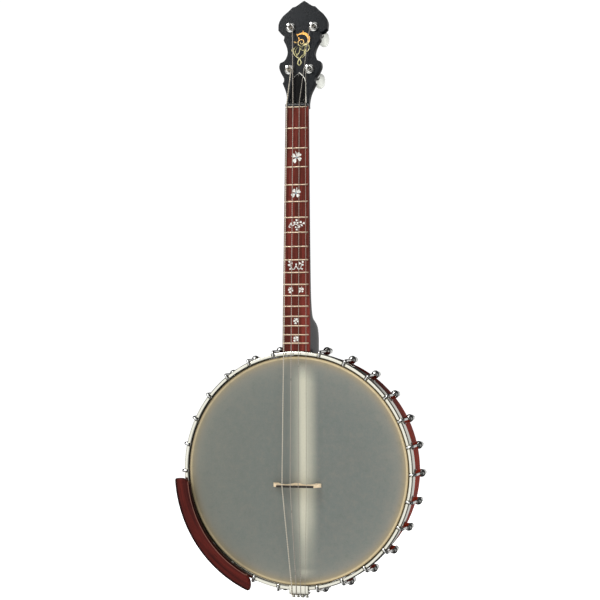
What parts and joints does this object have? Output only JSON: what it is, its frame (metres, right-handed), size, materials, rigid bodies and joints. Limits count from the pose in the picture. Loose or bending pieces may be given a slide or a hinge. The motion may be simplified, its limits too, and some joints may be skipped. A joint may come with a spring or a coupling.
{
  "type": "four-string cello banjo",
  "caption": "Open-back four-string cello banjo: fretted neck, fiddle-shaped headstock with geared tuners, round drum pot with hook tension, bridge, tailpiece and armrest.",
  "frame": {"origin": "where a wall hanger's fork carries the instrument: on the middle plane, inside the headstock's wood at the height where it widens above the nut", "axes": "+Z along the neck from pot to headstock, -Y the side that the drum head faces, +X the side of the first string"},
  "size_m": [0.3923, 0.1263, 0.9368],
  "materials": {
    "chrome": "polished",
    "rim_wood": "gloss stained",
    "armrest_wood": "gloss stained",
    "brass": "satin",
    "head_film": "frosted",
    "neck_lacquer": "gloss black lacquer",
    "overlay_lacquer": "gloss black lacquer",
    "fretboard_wood": "oiled",
    "nut_black": "satin black",
    "cover_plastic": "gloss",
    "pearl": "pearl",
    "maple": "bare",
    "ebony": "bare",
    "string_metal": "wound"
  },
  "bodies": {
    "banjo": {"headstock_overlay": "overlay_lacquer", "truss_rod_cover": "cover_plastic", "tuner_1_housing": "chrome", "tuner_2_housing": "chrome", "tuner_3_housing": "chrome", "tuner_4_housing": "chrome", "neck": "neck_lacquer", "fretboard": "fretboard_wood", "nut": "nut_black", "rim": "rim_wood", "tone_ring": "brass", "drum_head": "head_film", "flesh_hoop": "chrome", "tension_hoop": "chrome", "coordinator_rod_upper": "chrome", "coordinator_rod_lower": "chrome", "tension_bracket_01": "chrome", "tension_bracket_02": "chrome", "tension_bracket_03": "chrome", "tension_bracket_04": "chrome", "tension_bracket_05": "chrome", "tension_bracket_06": "chrome", "tension_bracket_07": "chrome", "tension_bracket_08": "chrome", "tension_bracket_09": "chrome", "tension_bracket_10": "chrome", "tension_bracket_11": "chrome", "tension_bracket_12": "chrome", "tension_bracket_13": "chrome", "tension_bracket_14": "chrome", "tension_bracket_15": "chrome", "tension_bracket_16": "chrome", "tension_bracket_17": "chrome", "tension_bracket_18": "chrome", "tension_bracket_19": "chrome", "tension_bracket_20": "chrome", "tension_bracket_21": "chrome", "tension_bracket_22": "chrome", "tension_bracket_23": "chrome", "tension_bracket_24": "chrome", "tension_bracket_25": "chrome", "tension_bracket_26": "chrome", "bridge": "maple", "bridge_cap": "ebony", "tailpiece": "chrome", "string_1": "string_metal", "string_2": "string_metal", "string_3": "string_metal", "string_4": "string_metal", "armrest": "armrest_wood", "armrest_bracket_1": "chrome", "armrest_bracket_2": "chrome"},
    "tuner_1_button": {"tuner_1_button": "pearl"},
    "tuner_1_post": {"tuner_1_post": "chrome"},
    "tuner_2_button": {"tuner_2_button": "pearl"},
    "tuner_2_post": {"tuner_2_post": "chrome"},
    "tuner_3_button": {"tuner_3_button": "pearl"},
    "tuner_3_post": {"tuner_3_post": "chrome"},
    "tuner_4_button": {"tuner_4_button": "pearl"},
    "tuner_4_post": {"tuner_4_post": "chrome"}
  },
  "joints": [
    {"name": "tuner_1_button_turn", "type": "hinge", "parent": "banjo", "child": "tuner_1_button", "pos_m": [0.0164, 0.0025, 0.03629], "axis": [0, 0.9732, -0.23], "continuous": true},
    {"name": "tuner_1_post_turn", "type": "hinge", "parent": "banjo", "child": "tuner_1_post", "pos_m": [0.0164, 0.0025, 0.03629], "axis": [0, 0.9732, -0.23], "continuous": true},
    {"name": "tuner_2_button_turn", "type": "hinge", "parent": "banjo", "child": "tuner_2_button", "pos_m": [0.0189, 0.0186, 0.10442], "axis": [0, 0.9732, -0.23], "continuous": true},
    {"name": "tuner_2_post_turn", "type": "hinge", "parent": "banjo", "child": "tuner_2_post", "pos_m": [0.0189, 0.0186, 0.10442], "axis": [0, 0.9732, -0.23], "continuous": true},
    {"name": "tuner_3_button_turn", "type": "hinge", "parent": "banjo", "child": "tuner_3_button", "pos_m": [-0.0189, 0.0186, 0.10442], "axis": [0, 0.9732, -0.23], "continuous": true},
    {"name": "tuner_3_post_turn", "type": "hinge", "parent": "banjo", "child": "tuner_3_post", "pos_m": [-0.0189, 0.0186, 0.10442], "axis": [0, 0.9732, -0.23], "continuous": true},
    {"name": "tuner_4_button_turn", "type": "hinge", "parent": "banjo", "child": "tuner_4_button", "pos_m": [-0.0164, 0.0025, 0.03629], "axis": [0, 0.9732, -0.23], "continuous": true},
    {"name": "tuner_4_post_turn", "type": "hinge", "parent": "banjo", "child": "tuner_4_post", "pos_m": [-0.0164, 0.0025, 0.03629], "axis": [0, 0.9732, -0.23], "continuous": true}
  ],
  "couplings": [
    {"joint": "tuner_1_post_turn", "follows": "tuner_1_button_turn", "ratio": 0.25},
    {"joint": "tuner_2_post_turn", "follows": "tuner_2_button_turn", "ratio": 0.25},
    {"joint": "tuner_3_post_turn", "follows": "tuner_3_button_turn", "ratio": 0.25},
    {"joint": "tuner_4_post_turn", "follows": "tuner_4_button_turn", "ratio": 0.25}
  ]
}
